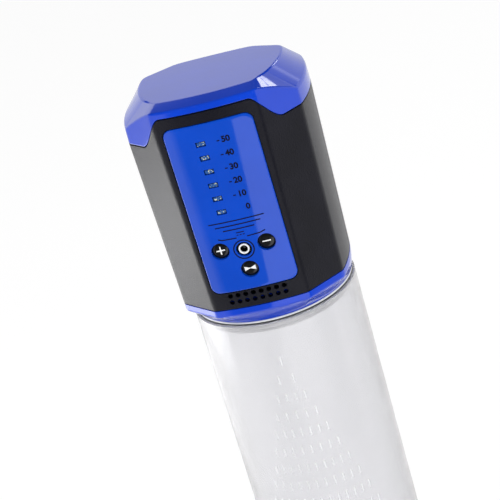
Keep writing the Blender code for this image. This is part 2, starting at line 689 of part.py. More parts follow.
def build_pump(metal, dark, soft, pale):
    """Motor, eccentric, housing, diaphragm and head, stacked upright."""
    centre = (PUMP_X, PUMP_Y)
    bore = 0.0014
    lathe("pump_motor", ((0.0, MOTOR_FOOT), (MOTOR_RADIUS - 0.0008, MOTOR_FOOT),
                         (MOTOR_RADIUS, MOTOR_FOOT + 0.0008), (MOTOR_RADIUS, MOTOR_TOP),
                         (0.0030, MOTOR_TOP), (0.0030, MOTOR_TOP + 0.0012),
                         (bore, MOTOR_TOP + 0.0012), (bore, MOTOR_TOP - 0.0060),
                         (0.0, MOTOR_TOP - 0.0060)),
          metal, segments=40, location=(*centre, 0.0))
    saddle("motor_cradle", (-0.0100, FRAME_BACK + GAP, RIM + 0.0240),
           (0.0100, PUMP_Y - 0.0060, RIM + 0.0420), centre, MOTOR_RADIUS + GAP, dark)

    shaft_top = MOTOR_TOP + 0.0055
    rod("motor_shaft", SHAFT_RADIUS, shaft_top - MOTOR_TOP + 0.0057,
        (*centre, MOTOR_TOP - 0.0057), "Z", metal, 20)
    hub_foot, hub_height = MOTOR_TOP + 0.0018, 0.0040
    hub_bore = SHAFT_RADIUS + GAP
    hub = lathe("drive_eccentric", ((hub_bore, 0.0), (0.0045, 0.0), (0.0045, hub_height),
                                    (hub_bore, hub_height)),
                pale, segments=28, location=(*centre, hub_foot))
    pin = rod("crank_pin", 0.0010, hub_height, (PUMP_X + 0.0030, PUMP_Y, hub_foot + 0.0020),
              "Z", segments=16)
    combine(hub, pin, "UNION")

    housing_foot, housing_top = MOTOR_TOP + GAP, MOTOR_TOP + 0.0130
    housing = box("pump_housing", (PUMP_X - PUMP_HALF, PUMP_Y - PUMP_HALF, housing_foot),
                  (PUMP_X + PUMP_HALF, PUMP_Y + PUMP_HALF, housing_top), dark)
    cavity = drill("housing_cavity", 0.0098, 0.0200, (*centre, housing_foot + 0.0012), "Z")
    combine(housing, cavity, "DIFFERENCE")
    collar = drill("housing_collar", 0.0034, 0.0100, (*centre, housing_foot - 0.0020), "Z")
    combine(housing, collar, "DIFFERENCE")

    flange = housing_top + GAP
    lathe("pump_diaphragm", ((0.0, flange - 0.0030), (0.0030, flange - 0.0030),
                             (0.0030, flange), (0.0110, flange), (0.0110, flange + 0.0010),
                             (0.0080, flange + 0.0010), (0.0070, flange + 0.0017),
                             (0.0060, flange + 0.0010), (0.0, flange + 0.0010)),
          soft, segments=28, location=(*centre, 0.0))
    head_foot, head_top = flange + 0.0020, flange + 0.0080
    head = box("pump_top", (PUMP_X - PUMP_HALF, PUMP_Y - PUMP_HALF, head_foot),
               (PUMP_X + PUMP_HALF, PUMP_Y + PUMP_HALF, head_top), dark)
    for name, x in (("inlet", -0.0060), ("outlet", 0.0060)):
        nipple = rod(f"{name}_nipple", 0.0016, 0.0055, (x, PUMP_Y, head_top - 0.0005), "Z",
                     segments=16)
        combine(head, nipple, "UNION")
        passage = drill(f"{name}_passage", 0.0007, 0.0200, (x, PUMP_Y, head_foot - 0.0010), "Z",
                        segments=12)
        combine(head, passage, "DIFFERENCE")
    return head_top + 0.0050


def build_valve(metal, dark, steel):
    """Solenoid release valve with a sprung plunger."""
    body = box("release_valve", (VALVE_X - 0.0060, VALVE_Y - 0.0065, VALVE_FOOT),
               (VALVE_X + 0.0060, VALVE_Y + 0.0065, VALVE_TOP), dark)
    nipple = rod("valve_nipple", 0.0016, 0.0045, (VALVE_X, VALVE_Y, VALVE_FOOT - 0.0040), "Z",
                 segments=16)
    combine(body, nipple, "UNION")
    bore = drill("valve_bore", 0.0033, 0.0200, (VALVE_X, VALVE_Y, VALVE_TOP - 0.0140), "Z")
    combine(body, bore, "DIFFERENCE")
    stem = 0.0160
    lathe("valve_plunger", ((0.0, 0.0), (0.0030, 0.0), (0.0030, stem), (0.0043, stem),
                            (0.0043, stem + 0.0010), (0.0, stem + 0.0010)),
          metal, segments=24, location=(VALVE_X, VALVE_Y, VALVE_TOP - 0.0120))
    foot, rise, turns, per_turn = VALVE_TOP + 0.0006, 0.0028, 3, 12
    helix = []
    for i in range(turns * per_turn + 1):
        angle = 2 * math.pi * i / per_turn
        helix.append((VALVE_X + 0.0037 * math.cos(angle), VALVE_Y + 0.0037 * math.sin(angle),
                      foot + rise * i / (turns * per_turn)))
    wire("plunger_spring", helix, 0.00025, steel, resolution=1)


def build_base(pale, soft, clear_soft):
    """Plate that closes the head, its spigot, seals, filter and air fittings."""
    plate_foot, plate_top = RIM + 0.0016, RIM + 0.0040
    groove_low, groove_high = O_RING_HEIGHT - 0.0013, O_RING_HEIGHT + 0.0013
    wall, groove = SPIGOT_RADIUS - 0.0032, SPIGOT_RADIUS - 0.0012
    chamfer = 0.0004
    plate = lathe("base_plate", ((0.0, plate_foot), (wall, plate_foot), (wall, SPIGOT_FOOT),
                                 (SPIGOT_RADIUS - chamfer, SPIGOT_FOOT),
                                 (SPIGOT_RADIUS, SPIGOT_FOOT + chamfer),
                                 (SPIGOT_RADIUS, groove_low), (groove, groove_low),
                                 (groove, groove_high), (SPIGOT_RADIUS, groove_high),
                                 (SPIGOT_RADIUS, FLANGE_FOOT), (FLANGE_RADIUS, FLANGE_FOOT),
                                 (FLANGE_RADIUS, FLANGE_TOP), (SPIGOT_RADIUS, FLANGE_TOP),
                                 (SPIGOT_RADIUS, plate_top), (0.0, plate_top)),
                  pale, segments=40)
    port = lathe("port_boss", ((0.0, 0.0), (0.0034, 0.0), (0.0034, 0.0050), (0.0018, 0.0050),
                               (0.0018, 0.0100), (0.0, 0.0100)),
                 segments=20, location=(PORT_X, PORT_Y, plate_top - 0.0005))
    combine(plate, port, "UNION")
    passage = drill("port_passage", 0.0009, 0.0200, (PORT_X, PORT_Y, plate_foot - 0.0010), "Z",
                    segments=12)
    combine(plate, passage, "DIFFERENCE")

    circle = []
    for i in range(8):
        angle = 2 * math.pi * i / 8
        circle.append((O_RING_RADIUS + O_RING_WIRE * math.cos(angle),
                       O_RING_HEIGHT + O_RING_WIRE * math.sin(angle)))
    lathe("spigot_o_ring", circle, clear_soft, segments=32)
    seal_foot, seal_top = RIM_SEAL_SPAN
    lathe("rim_seal", ((0.0293, seal_foot), (RING_FOOT_RADIUS, seal_foot),
                       (RING_FOOT_RADIUS, seal_top), (0.0293, seal_top)), soft, segments=64)
    lathe("inlet_filter", ((0.0, 0.0), (0.0020, 0.0), (0.0020, 0.0014), (0.0, 0.0014)),
          pale, segments=20, location=(PORT_X + 0.0011, PORT_Y, plate_foot - 0.0014 - GAP))


def build_air_lines(clear, dark, pump_port):
    """Tee on the base port, pressure sensor and the three hoses."""
    tee_foot = RIM + 0.0138
    tee_middle = tee_foot + 0.0036
    tee = lathe("tee_connector", ((0.0008, 0.0), (0.0024, 0.0), (0.0024, 0.0060),
                                  (0.0017, 0.0062), (0.0017, 0.0085), (0.0008, 0.0085)),
                dark, segments=20, location=(PORT_X, PORT_Y, tee_foot))
    for name, start in (("front", -0.0060), ("rear", 0.0016)):
        branch = rod(f"tee_{name}_branch", 0.0015, 0.0044, (PORT_X, PORT_Y + start, tee_middle),
                     "Y", segments=16)
        combine(tee, branch, "UNION")

    sensor_x = PORT_X + 0.0010
    sensor = box("pressure_sensor", (sensor_x - 0.0045, FRAME_BACK + GAP, RIM + 0.0300),
                 (sensor_x + 0.0035, FRAME_BACK + 0.0052, RIM + 0.0390), dark)
    sensor_y = FRAME_BACK + 0.0028
    stub = rod("sensor_stub", 0.0013, 0.0045, (sensor_x, sensor_y, RIM + 0.0260), "Z", segments=16)
    combine(sensor, stub, "UNION")

    tee_top = tee_foot + 0.0085 + GAP
    tube_along("pump_hose", (
        (PORT_X, PORT_Y, tee_top), (PORT_X, PORT_Y, RIM + 0.0340), (PORT_X, PORT_Y, RIM + 0.0480),
        (PORT_X, PORT_Y, RIM + 0.0620), (PORT_X + 0.0015, PORT_Y + 0.0020, RIM + 0.0745),
        (-0.0140, -0.0010, RIM + 0.0835), (-0.0075, 0.0016, RIM + 0.0820),
        (-0.0060, PUMP_Y, pump_port + 0.0025), (-0.0060, PUMP_Y, pump_port + GAP)),
        0.0022, clear)
    front_y = PORT_Y - 0.0060 - GAP
    tube_along("sensor_hose", (
        (PORT_X, front_y, tee_middle), (PORT_X, front_y - 0.0022, tee_middle + 0.0002),
        (PORT_X + 0.0004, sensor_y + 0.0014, tee_middle + 0.0022),
        (sensor_x, sensor_y, RIM + 0.0228), (sensor_x, sensor_y, RIM + 0.0260 - GAP)),
        0.0017, clear)
    rear_y = PORT_Y + 0.0060 + GAP
    tube_along("valve_hose", (
        (PORT_X, rear_y, tee_middle), (PORT_X, rear_y + 0.0030, tee_middle + 0.0002),
        (PORT_X + 0.0002, VALVE_Y - 0.0010, tee_middle + 0.0035),
        (VALVE_X, VALVE_Y, RIM + 0.0280), (VALVE_X, VALVE_Y, VALVE_FOOT - 0.0040 - GAP)),
        0.0020, clear)


# --------------------------------------------------------------------- model
def main():
    for obj in list(bpy.data.objects):
        bpy.data.objects.remove(obj)

    blue = make_material("gloss_blue", (0.020, 0.070, 0.620), 0.12)
    black = make_material("textured_black", (0.022, 0.022, 0.026), 0.55)
    gloss_black = make_material("gloss_black", (0.010, 0.010, 0.012), 0.12)
    dark = make_material("dark_plastic", (0.060, 0.060, 0.065), 0.50)
    clear = make_material("clear_acrylic", (0.900, 0.920, 0.940), 0.05, transmission=0.9)
    soft = make_material("black_silicone", (0.030, 0.030, 0.032), 0.60)
    clear_soft = make_material("clear_silicone", (0.720, 0.730, 0.740), 0.40)
    pale = make_material("natural_plastic", (0.800, 0.800, 0.780), 0.40)
    steel = make_material("bright_steel", (0.620, 0.620, 0.640), 0.28, metallic=1.0)
    green = make_material("board_green", (0.020, 0.180, 0.060), 0.45)
    orange = make_material("cell_wrap", (0.700, 0.240, 0.030), 0.35)

    build_cylinder(clear, soft)
    build_cap(blue)
    build_ring(blue)
    build_front_shell(black)
    build_rear_shell(black)
    build_panel(blue)
    build_windows(pale)
    build_buttons(gloss_black, dark)
    build_jack(gloss_black, steel)
    build_board(green)
    build_frame(dark)
    build_screws(steel)
    build_power(orange, dark)
    pump_port = build_pump(steel, dark, soft, pale)
    build_valve(steel, dark, steel)
    build_base(pale, soft, clear_soft)
    build_air_lines(clear, dark, pump_port)


main()
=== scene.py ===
"""Looks of the electric vacuum pump: a blue and black pump head on a clear cylinder.

Metres, +Z up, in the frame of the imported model.  Heights of the head are given
above the rim, which is the cylinder's top edge.
"""

import math

import bmesh
import bpy
import numpy as np
from mathutils import Matrix, Vector


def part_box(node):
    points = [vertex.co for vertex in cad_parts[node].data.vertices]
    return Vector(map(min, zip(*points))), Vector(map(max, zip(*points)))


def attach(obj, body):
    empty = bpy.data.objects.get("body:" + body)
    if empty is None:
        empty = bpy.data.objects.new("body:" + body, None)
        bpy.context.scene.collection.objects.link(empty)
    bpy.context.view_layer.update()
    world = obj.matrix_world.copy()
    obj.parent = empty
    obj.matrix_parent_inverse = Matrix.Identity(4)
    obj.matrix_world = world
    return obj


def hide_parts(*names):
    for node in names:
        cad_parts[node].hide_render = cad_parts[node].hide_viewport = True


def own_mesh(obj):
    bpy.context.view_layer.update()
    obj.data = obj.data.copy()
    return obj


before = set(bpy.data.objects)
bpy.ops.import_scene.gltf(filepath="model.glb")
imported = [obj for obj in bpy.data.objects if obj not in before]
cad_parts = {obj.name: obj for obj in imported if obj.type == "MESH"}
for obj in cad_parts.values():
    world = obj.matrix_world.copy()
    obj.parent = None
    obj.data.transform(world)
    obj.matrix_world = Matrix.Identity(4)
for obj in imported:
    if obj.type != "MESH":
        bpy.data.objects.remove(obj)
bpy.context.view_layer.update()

# ------------------------------------------------------------- driving sizes
GAP = 0.0003                      # clearance between neighbouring pieces
RIM = 0.2120
TUBE_BORE = 0.0300
TUBE_RADIUS = 0.0325
TUBE_FOOT = 0.0020
BODY_FOOT = RIM + 0.0112
CAP_EDGE_SIDE = RIM + 0.0784      # the seam between cap and body
CAP_EDGE_FRONT = RIM + 0.0897
SWOOP_INNER = 0.0162              # half widths between which that seam falls
SWOOP_OUTER = 0.0264
SECTION_TOP = RIM + 0.0870        # where the body reaches its upper plan
CREASE_SIDE = RIM + 0.0844        # the lower edge of the cap's bevel
CREASE_FRONT = RIM + 0.0920
HEAD_TOP = RIM + 0.0926
WALL = 0.0022
LIP_DEPTH = WALL + GAP            # lips of the cap and the ring, behind the wall
LIP_THICKNESS = 0.0012
LIP_REACH = 0.0030
RING_FOOT = RIM + 0.0014
RING_BORE = 0.0290

# Plans of the head: the corners at the front, the side's front and rear, and the
# rear, each as (x, y), then the bows of the front, the sides and the rear.
FOOT_PLAN = ((0.01786, -0.0360), (0.0309, -0.0235), (0.0309, 0.0145),
             (0.0179, 0.0310), 0.0019, 0.00235, 0.0012)
UPPER_PLAN = ((0.0192, -0.0388), (0.0325, -0.0239), (0.0324, 0.0153),
              (0.0192, 0.0318), 0.0022, 0.00270, 0.0012)
TOP_PLAN = ((0.0184, -0.0288), (0.0226, -0.0228), (0.0270, 0.0060),
            (0.0150, 0.0140), 0.0024, 0.0020, 0.0006)
STEP = 0.0006                     # spacing of the points round the head
ROUND_STEPS = 4                   # steps round a softened edge

PANEL_HALF_WIDTH = 0.0164
PANEL_FOOT = RIM + 0.0183
PANEL_TOP = RIM + 0.0851
PANEL_CORNER = 0.0032
PANEL_PROUD = 0.00025
PANEL_SIZE = (PANEL_HALF_WIDTH, PANEL_FOOT, PANEL_TOP, PANEL_CORNER)
CORNER_STEPS = 12                 # steps round a panel's corner
SPAN_STEPS = 30                   # steps between its corners
INK = 0.00004                     # how far printed marks stand off the panel
INK_LINE = 0.00042                # width of the printed lines
TOOL_FRONT = -0.043               # y range of the tools that cut the panel
TOOL_BACK = -0.033
WINDOW_X = -0.00385
WINDOW_HEIGHTS = tuple(RIM + h for h in (0.0777, 0.0723, 0.0669, 0.0615, 0.0561, 0.0507))
WINDOW_SIZE = (0.0030, 0.0014)
WINDOW_BACK = -0.0310
WINDOW_SINK = 0.0001
BUTTON_RADIUS = 0.0031
BUTTON_RECESS = 0.0013
BUTTON_BACK = -0.0346
DOME_RADIUS = BUTTON_RADIUS * 0.98
DOME_RISE = 0.0004
BUTTONS = {
    "plus": (-0.00865, RIM + 0.0354),
    "minus": (0.00865, RIM + 0.0354),
    "valve": (0.0, RIM + 0.0263),
}
JACK_HEIGHT = RIM + 0.0346
JACK_HOLE = 0.0029
JACK_BACK = -0.0295
VENT_COLUMNS = 8
VENT_PITCH = 0.00292
VENT_HEIGHTS = (RIM + 0.0140, RIM + 0.0166)
VENT_RADIUS = 0.00095
CASE_SCREWS = ((-0.0125, 0.0180), (0.0125, 0.0180), (-0.0125, 0.0710), (0.0125, 0.0710))
SCREW_POCKET = 0.0032
PARTING_Y = -0.00425              # where the two halves of the body meet
TICK_ROWS = 10
TICK_TOP = RIM - 0.0165
TICK_PITCH = 0.0080
TICK_WIDENING = 0.0025
TICK_HALF_SIZE = (0.00022, 0.0019)

# Levels of the white studio: the floor to the camera, the light that the floor
# and the world cast, and the least and the most that reflections of them show.
FLOOR_GLOW = 0.90
FLOOR_BOUNCE = 0.60
AMBIENT = 0.28
DARK_SHEEN = 0.08
FLOOR_SHEEN = 0.9


# ------------------------------------------------------------------ materials
def new_material(name):
    """An empty Principled material, its nodes, and a link function."""
    material = bpy.data.materials.new(name)
    material.use_nodes = True
    nodes = material.node_tree.nodes
    return material, nodes, material.node_tree.links.new, nodes["Principled BSDF"]


def add_texture(nodes, link, kind, scale):
    """A texture in object space, in cycles to the metre."""
    coords = nodes.new("ShaderNodeTexCoord")
    texture = nodes.new(kind)
    texture.inputs["Scale"].default_value = scale
    link(coords.outputs["Object"], texture.inputs["Vector"])
    return texture


def add_noise(nodes, link, scale, detail=4.0):
    noise = add_texture(nodes, link, "ShaderNodeTexNoise", scale)
    noise.inputs["Detail"].default_value = detail
    return noise.outputs["Fac"]


def vary_colour(nodes, link, shader, factor, dark, light, span=(0.3, 0.7)):
    """Base colour that goes from dark to light while the factor crosses the span."""
    ramp = nodes.new("ShaderNodeValToRGB")
    ramp.color_ramp.elements[0].position = span[0]
    ramp.color_ramp.elements[1].position = span[1]
    ramp.color_ramp.elements[0].color = (*dark, 1.0)
    ramp.color_ramp.elements[1].color = (*light, 1.0)
    link(factor, ramp.inputs["Fac"])
    link(ramp.outputs["Color"], shader.inputs["Base Color"])


def vary_roughness(nodes, link, shader, factor, low, high):
    spread = nodes.new("ShaderNodeMapRange")
    spread.inputs["To Min"].default_value = low
    spread.inputs["To Max"].default_value = high
    link(factor, spread.inputs["Value"])
    link(spread.outputs["Result"], shader.inputs["Roughness"])


def add_bump(nodes, link, shader, factor, strength, distance):
    bump = nodes.new("ShaderNodeBump")
    bump.inputs["Strength"].default_value = strength
    bump.inputs["Distance"].default_value = distance
    link(factor, bump.inputs["Height"])
    link(bump.outputs["Normal"], shader.inputs["Normal"])


def moulded(name, colour, roughness, grain=900.0, relief=0.00002, strength=0.3, spread=0.06,
            metallic=0.0, ior=1.5, tone=0.08):
    """Moulded or drawn stock: slight shifts of tone and gloss and a fine relief."""
    material, nodes, link, shader = new_material(name)
    broad = add_noise(nodes, link, 60.0)
    fine = add_noise(nodes, link, grain, 6.0)
    dark = [c * (1 - tone) for c in colour]
    light = [min(c * (1 + tone), 1.0) for c in colour]
    vary_colour(nodes, link, shader, broad, dark, light)
    vary_roughness(nodes, link, shader, broad, max(roughness - spread, 0.02), roughness + spread)
    add_bump(nodes, link, shader, fine, strength, relief)
    shader.inputs["Metallic"].default_value = metallic
    shader.inputs["IOR"].default_value = ior
    return material


def grained_black():
    """The casing's black: a fine spark-eroded grain with pinpoint sparkle."""
    material, nodes, link, shader = new_material("casing_black")
    cells = add_texture(nodes, link, "ShaderNodeTexVoronoi", 2200.0)
    broad = add_noise(nodes, link, 80.0)
    vary_colour(nodes, link, shader, broad, (0.002, 0.002, 0.006), (0.005, 0.005, 0.011))
    vary_roughness(nodes, link, shader, cells.outputs["Distance"], 0.26, 0.40)
    shader.inputs["IOR"].default_value = 1.33
    add_bump(nodes, link, shader, cells.outputs["Distance"], 0.70, 0.00010)
    return material


def clear_plastic(name, colour, roughness, clarity=1.0):
    """Clear moulded plastic with faint flow marks; less clarity makes it milky."""
    material, nodes, link, shader = new_material(name)
    shader.inputs["Transmission Weight"].default_value = clarity
    shader.inputs["IOR"].default_value = 1.49
    broad = add_noise(nodes, link, 40.0)
    vary_colour(nodes, link, shader, broad, [c * 0.99 for c in colour], colour)
    vary_roughness(nodes, link, shader, broad, max(roughness - 0.01, 0.0), roughness + 0.01)
    fine = add_noise(nodes, link, 120.0, 2.0)
    add_bump(nodes, link, shader, fine, 0.05, 0.00005)
    return material


def lamp_window():
    """Pale diffuser with the lit grains of the lamp behind it."""
    material, nodes, link, shader = new_material("lamp_window")
    cells = add_texture(nodes, link, "ShaderNodeTexVoronoi", 1500.0)
    vary_colour(nodes, link, shader, cells.outputs["Distance"], (0.62, 0.66, 0.45),
                (0.02, 0.09, 0.30), span=(0.22, 0.46))
    shader.inputs["Roughness"].default_value = 0.25
    return material


def circuit_board():
    """Green solder resist over darker bare runs."""
    material, nodes, link, shader = new_material("board_green")
    brick = add_texture(nodes, link, "ShaderNodeTexBrick", 420.0)
    brick.inputs["Mortar Size"].default_value = 0.06
    vary_colour(nodes, link, shader, brick.outputs["Fac"], (0.015, 0.160, 0.050),
                (0.030, 0.300, 0.090))
    shader.inputs["Roughness"].default_value = 0.35
    add_bump(nodes, link, shader, brick.outputs["Fac"], 0.3, 0.00003)
    return material


BLUE = moulded("gloss_blue", (0.003, 0.050, 0.570), 0.08, grain=260.0, strength=0.04,
               spread=0.02, tone=0.05)
PANEL_BLUE = moulded("panel_blue", (0.002, 0.060, 0.510), 0.06, grain=200.0, relief=0.00001,
                     strength=0.02, spread=0.02, tone=0.05)
BLACK = grained_black()
GLOSS_BLACK = moulded("gloss_black", (0.006, 0.006, 0.007), 0.10, spread=0.03, strength=0.05)
INNER = moulded("inner_plastic", (0.055, 0.055, 0.060), 0.5)
PALE = moulded("natural_plastic", (0.780, 0.780, 0.760), 0.4)
# Only the rim's thin white band uses this: a painted highlight for the light on the ring's lower
# edge.
RIM_HIGHLIGHT_WHITE = moulded("rim_highlight_white", (0.850, 0.850, 0.850), 0.3)
INK_BLACK = moulded("ink_black", (0.004, 0.004, 0.012), 0.55, ior=1.2)
INK_WHITE = moulded("ink_white", (0.900, 0.900, 0.900), 0.45)
STEEL = moulded("bright_steel", (0.640, 0.640, 0.660), 0.26, metallic=1.0)
PLATED = moulded("plated_ring", (0.820, 0.820, 0.840), 0.25)
SILICONE = moulded("black_silicone", (0.030, 0.030, 0.032), 0.55, strength=0.2)
SPIGOT = moulded("white_spigot", (0.930, 0.930, 0.940), 0.35)
RELIEF = moulded("clear_relief", (0.800, 0.800, 0.820), 0.4)
WRAP = moulded("cell_wrap", (0.700, 0.240, 0.030), 0.3)
BOARD = circuit_board()
LAMP = lamp_window()
TUBE_CLEAR = clear_plastic("clear_acrylic", (0.972, 0.970, 0.990), 0.22, clarity=0.82)
HOSE = clear_plastic("soft_hose", (0.930, 0.940, 0.950), 0.2)


# ------------------------------------------------------------- mesh utilities
def link_object(name, data):
    obj = bpy.data.objects.new(name, data)
    bpy.context.collection.objects.link(obj)
    return obj


def smooth(mesh, sharp):
    """Smooth shading with sharp edges where faces meet at more than an angle."""
    mesh.shade_smooth()
    mesh.set_sharp_from_angle(angle=math.radians(sharp))


def add_piece(name, bm, material, body, replaces=(), sharp=30.0):
    """Finish a bmesh as a piece that rides on a body, or as a tool if it has none."""
    bmesh.ops.remove_doubles(bm, verts=bm.verts, dist=1e-7)
    bmesh.ops.recalc_face_normals(bm, faces=bm.faces)
    mesh = bpy.data.meshes.new(name)
    bm.to_mesh(mesh)
    bm.free()
    smooth(mesh, sharp)
    mesh.materials.append(material)
    obj = link_object(name, mesh)
    if body:
        weigh_normals(obj)
        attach(obj, body)
        if replaces:
            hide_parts(*replaces)
    return obj


def weigh_normals(obj):
    """Keep large faces flat in the shading, so that only the small edge faces bend it."""
    modifier = obj.modifiers.new("weighted_normals", "WEIGHTED_NORMAL")
    modifier.keep_sharp = True


def skin(bm, rings, loop=False, closed=True):
    """Faces between neighbouring rings of points; closed joins each ring's ends."""
    verts = [[bm.verts.new(p) for p in ring] for ring in rings]
    pairs = list(zip(verts[:-1], verts[1:]))
    if loop:
        pairs.append((verts[-1], verts[0]))
    count = len(verts[0])
    for here, there in pairs:
        for k in range(count if closed else count - 1):
            after = (k + 1) % count
            bm.faces.new((here[k], there[k], there[after], here[after]))
    return verts


def skin_solid(bm, rings):
    """Skin the rings and put a face over each end."""
    verts = skin(bm, rings)
    bm.faces.new(verts[0])
    bm.faces.new(verts[-1])


def hoop(inner, outer, low, high):
    """Closed profile of a plain hoop for lathe."""
    return ((inner, low), (outer, low), (outer, high), (inner, high))


def lathe(name, profile, material, body, location=(0, 0, 0), along="Z", segments=192,
          replaces=()):
    """Turn a closed profile of (radius, height) about Z, or about Y."""
    bm = bmesh.new()
    rings = []
    for i in range(segments):
        angle = 2 * math.pi * i / segments
        ring = []
        for radius, height in profile:
            x, y = radius * math.cos(angle), radius * math.sin(angle)
            ring.append((x, y, height) if along == "Z" else (x, height, -y))
        rings.append([Vector(p) + Vector(location) for p in ring])
    skin(bm, rings, loop=True)
    loose = [f for f in bm.faces if f.calc_area() < 1e-14]
    bmesh.ops.delete(bm, geom=loose, context="FACES")
    return add_piece(name, bm, material, body, replaces)


def rounded(profile, radius):
    """Round every corner of a closed profile of (radius, height)."""
    result = []
    count = len(profile)
    for i in range(count):
        here = Vector(profile[i])
        before = Vector(profile[i - 1]) - here
        after = Vector(profile[(i + 1) % count]) - here
        if here.x < 1e-9 or min(before.length, after.length) < 1e-9:
            result.append(tuple(here))
            continue
        start = here + before.normalized() * min(radius, before.length * 0.45)
        end = here + after.normalized() * min(radius, after.length * 0.45)
        for k in range(ROUND_STEPS + 1):
            t = k / ROUND_STEPS
            result.append(tuple((1 - t) ** 2 * start + 2 * t * (1 - t) * here + t * t * end))
    return result


def cut(target, tool):
    """Cut a tool from a piece and apply it."""
    target.modifiers.clear()
    modifier = target.modifiers.new("cut", "BOOLEAN")
    modifier.operation = "DIFFERENCE"
    modifier.solver = "EXACT"
    modifier.object = tool
    graph = bpy.context.evaluated_depsgraph_get()
    mesh = bpy.data.meshes.new_from_object(target.evaluated_get(graph))
    target.modifiers.clear()
    old = target.data
    target.data = mesh
    bpy.data.meshes.remove(old)
    bpy.data.objects.remove(tool)
    weigh_normals(target)


# --------------------------------------------------------------- head outline
def leg_points(start, end, bow, steps):
    """Points from start up to, but not including, end, bowed to the left."""
    start, end = np.array(start), np.array(end)
    chord = end - start
    length = np.hypot(*chord)
    out = np.array((-chord[1], chord[0])) / length
    t = np.arange(steps) / steps
    if bow == 0.0:
        return start + np.outer(t, chord)
    radius = (length ** 2 / 4 + bow ** 2) / (2 * bow)
    centre = (start + end) / 2 - out * (radius - bow)
    angle = math.asin(length / 2 / radius) * (2 * t - 1)
    return centre + np.outer(radius * np.sin(angle), chord / length) + np.outer(
        radius * np.cos(angle), out)


def mirrored(point):
    return (-point[0], point[1])


def plan_legs(plan):
    front, side, rear_side, rear, front_bow, side_bow, rear_bow = plan
    return (
        (rear_side, side, side_bow), (side, front, 0.0),
        (front, mirrored(front), front_bow), (mirrored(front), mirrored(side), 0.0),
        (mirrored(side), mirrored(rear_side), side_bow),
        (mirrored(rear_side), mirrored(rear), 0.0),
        (mirrored(rear), rear, rear_bow), (rear, rear_side, 0.0),
    )


LEG_STEPS = [max(6, 2 * round(math.dist(a, b) / STEP / 2)) for a, b, _ in plan_legs(UPPER_PLAN)]


def plan_outline(plan, softness):
    """Dense outline with its corners softened by a moving average."""
    points = np.vstack([leg_points(a, b, bow, n)
                        for (a, b, bow), n in zip(plan_legs(plan), LEG_STEPS)])
    for _ in range(2):
        total = np.zeros_like(points)
        for shift in range(-softness, softness + 1):
            total += np.roll(points, shift, axis=0)
        points = total / (2 * softness + 1)
    return points


FOOT_OUTLINE = plan_outline(FOOT_PLAN, 1)
UPPER_OUTLINE = plan_outline(UPPER_PLAN, 1)
TOP_OUTLINE = plan_outline(TOP_PLAN, 4)
STATIONS = len(FOOT_OUTLINE)
RIGHT_SPLIT = LEG_STEPS[0] // 2
LEFT_SPLIT = sum(LEG_STEPS[:4]) + LEG_STEPS[4] // 2


def inset(points, distance):
    """Move a closed outline inwards by an even distance."""
    ahead = np.roll(points, -1, axis=0) - np.roll(points, 1, axis=0)
    out = np.column_stack((-ahead[:, 1], ahead[:, 0]))
    out /= np.linalg.norm(out, axis=1)[:, None]
    return points - out * distance


def ring_at(points, heights):
    return np.column_stack((points, np.broadcast_to(heights, len(points))))


def body_ring(heights, depth=0.0):
    """Points on the tapered body at the given heights."""
    heights = np.broadcast_to(heights, STATIONS)
    t = ((heights - BODY_FOOT) / (SECTION_TOP - BODY_FOOT))[:, None]
    low, high = inset(FOOT_OUTLINE, depth), inset(UPPER_OUTLINE, depth)
    return ring_at(low + (high - low) * t, heights)


def front_surface(x, height):
    """The y of the body's bowed front at a half width and a height."""
    t = (height - BODY_FOOT) / (SECTION_TOP - BODY_FOOT)
    depths = []
    for plan in (FOOT_PLAN, UPPER_PLAN):
        half, depth, bow = plan[0][0], plan[0][1], plan[4]
        radius = (half ** 2 + bow ** 2) / (2 * bow)
        depths.append(depth - bow + radius - math.sqrt(radius ** 2 - x ** 2))
    return depths[0] + (depths[1] - depths[0]) * t


def cap_edge_heights():
    """Height of the seam between cap and body at each station."""
    t = np.clip((np.abs(UPPER_OUTLINE[:, 0]) - SWOOP_INNER) / (SWOOP_OUTER - SWOOP_INNER), 0, 1)
    swoop = np.where(UPPER_OUTLINE[:, 1] > 0, 1.0, t * t * (3 - 2 * t))
    return CAP_EDGE_FRONT + (CAP_EDGE_SIDE - CAP_EDGE_FRONT) * swoop


def crease_heights():
    """Height of the bevel's lower edge: it falls along the front chamfers."""
    front_x, side_x = UPPER_PLAN[0][0], UPPER_PLAN[1][0]
    fall = np.clip((np.abs(UPPER_OUTLINE[:, 0]) - front_x) / (side_x - front_x), 0, 1) ** 1.25
    fall = np.where(UPPER_OUTLINE[:, 1] > UPPER_PLAN[1][1] + 0.0001, 1.0, fall)
    return CREASE_FRONT + (CREASE_SIDE - CREASE_FRONT) * fall


def soften(rings, sizes):
    """Round the edge at each inner ring by its size."""
    result = [rings[0]]
    for i in range(1, len(rings) - 1):
        here = rings[i]
        before, after = rings[i - 1] - here, rings[i + 1] - here
        before_length = np.linalg.norm(before, axis=1)[:, None]
        after_length = np.linalg.norm(after, axis=1)[:, None]
        start = here + before * np.minimum(sizes[i] / before_length, 0.45)
        end = here + after * np.minimum(sizes[i] / after_length, 0.45)
        for k in range(ROUND_STEPS + 1):
            t = k / ROUND_STEPS
            result.append((1 - t) ** 2 * start + 2 * t * (1 - t) * here + t * t * end)
    result.append(rings[-1])
    return result


